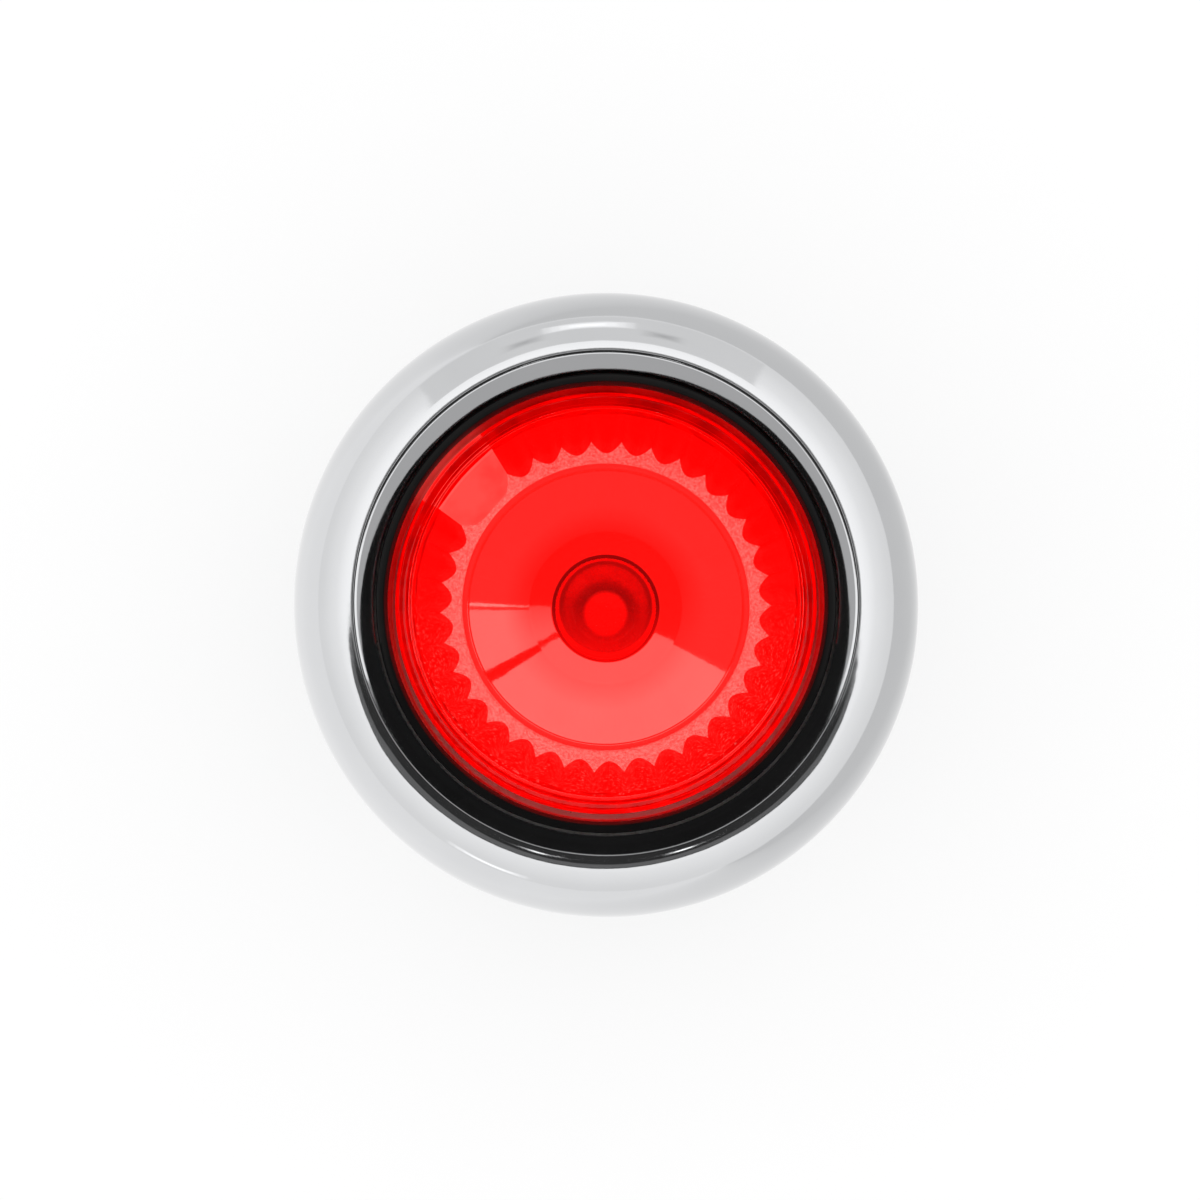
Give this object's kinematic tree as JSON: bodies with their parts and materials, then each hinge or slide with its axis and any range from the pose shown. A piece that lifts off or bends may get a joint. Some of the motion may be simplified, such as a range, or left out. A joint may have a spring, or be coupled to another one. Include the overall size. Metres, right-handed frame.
{
  "type": "illuminated push button",
  "caption": "Illuminated push button: domed chrome bezel round a flush clear red lens, threaded barrel with nut for a panel hole, compact rear body with switch contacts and lamp.",
  "frame": {"origin": "on the button's axis, in the plane of the front face of the panel that it is fixed in", "axes": "+Z out of the panel towards the user, along the button's axis; the button is pushed along -Z; +Y towards the anti-rotation lug"},
  "size_m": [0.0296, 0.0299, 0.0506],
  "materials": {
    "black_plastic": "fine moulded texture",
    "brass": "stamped, satin",
    "bright_reflector": "metallised plastic, slightly grained",
    "chrome": "polished, domed",
    "circuit_board": "solder-masked glass-epoxy",
    "clear_smoke_cover": "fine moulded texture",
    "gloss_black": "polished black",
    "green_plastic": "moulded",
    "grey_plastic": "fine moulded texture",
    "led_epoxy": "clear red epoxy",
    "lever_plastic": "orange moulded plastic",
    "plated_steel": "zinc plated",
    "red_lens": "clear red, polished",
    "red_plastic": "moulded",
    "resistor": "lacquered",
    "rubber": "matte",
    "zinc": "die-cast zinc, satin nickel plate"
  },
  "bodies": {
    "fixed_body": {"bezel_ring": "chrome", "inner_collar": "gloss_black", "panel_gasket": "rubber", "head_barrel": "zinc", "return_spring": "plated_steel", "locating_washer": "plated_steel", "lock_nut": "zinc", "base_cover": "black_plastic", "base_body": "black_plastic", "lamp_housing": "grey_plastic", "lamp_cover": "grey_plastic", "lamp_board": "circuit_board", "led_lead_anode": "plated_steel", "led_lead_cathode": "plated_steel", "lamp_resistor": "resistor", "led": "led_epoxy", "lamp_terminal_front": "brass", "lamp_clamp_front": "plated_steel", "lamp_screw_front": "plated_steel", "lamp_terminal_rear": "brass", "lamp_clamp_rear": "plated_steel", "lamp_screw_rear": "plated_steel", "no_housing": "grey_plastic", "no_cover": "clear_smoke_cover", "no_return_spring": "plated_steel", "no_terminal_front": "brass", "no_clamp_front": "plated_steel", "no_screw_front": "plated_steel", "no_terminal_rear": "brass", "no_clamp_rear": "plated_steel", "no_screw_rear": "plated_steel", "nc_housing": "grey_plastic", "nc_cover": "clear_smoke_cover", "nc_return_spring": "plated_steel", "nc_terminal_front": "brass", "nc_clamp_front": "plated_steel", "nc_screw_front": "plated_steel", "nc_terminal_rear": "brass", "nc_clamp_rear": "plated_steel", "nc_screw_rear": "plated_steel"},
    "button": {"lens_cap": "red_lens", "reflector_dish": "bright_reflector", "button_carrier": "black_plastic", "carrier_seal": "rubber", "retaining_clip": "plated_steel"},
    "no_plunger_body": {"no_plunger": "green_plastic", "no_contact_spring": "plated_steel"},
    "no_bridge_body": {"no_bridge": "brass"},
    "nc_plunger_body": {"nc_plunger": "red_plastic", "nc_bridge": "brass", "nc_contact_spring": "plated_steel"},
    "latch": {"latch_ring": "lever_plastic"}
  },
  "joints": [
    {"name": "button_slide", "type": "slide", "parent": "fixed_body", "child": "button", "axis": [0, 0, -1], "range_m": [0, 0.004], "stiffness_N_per_m": 450, "springref_m": -0.006, "deforming": ["return_spring"]},
    {"name": "no_plunger_slide", "type": "slide", "parent": "fixed_body", "child": "no_plunger_body", "axis": [0, 0, -1], "range_m": [0, 0.004], "deforming": ["no_return_spring"]},
    {"name": "nc_plunger_slide", "type": "slide", "parent": "fixed_body", "child": "nc_plunger_body", "axis": [0, 0, -1], "range_m": [0, 0.004], "deforming": ["nc_return_spring"]},
    {"name": "no_bridge_slide", "type": "slide", "parent": "no_plunger_body", "child": "no_bridge_body", "axis": [0, 0, -1], "range_m": [-0.0014, 0], "deforming": ["no_contact_spring"]},
    {"name": "latch_turn", "type": "hinge", "parent": "fixed_body", "child": "latch", "pos_m": [0, 0, -0.0182], "axis": [0, 0, 1], "range_deg": [-30, 0]}
  ],
  "couplings": [
    {"joint": "no_plunger_slide", "follows": "button_slide", "ratio": 1},
    {"joint": "nc_plunger_slide", "follows": "button_slide", "ratio": 1},
    {"joint": "no_bridge_slide", "follows": "button_slide", "ratio": -0.35}
  ]
}
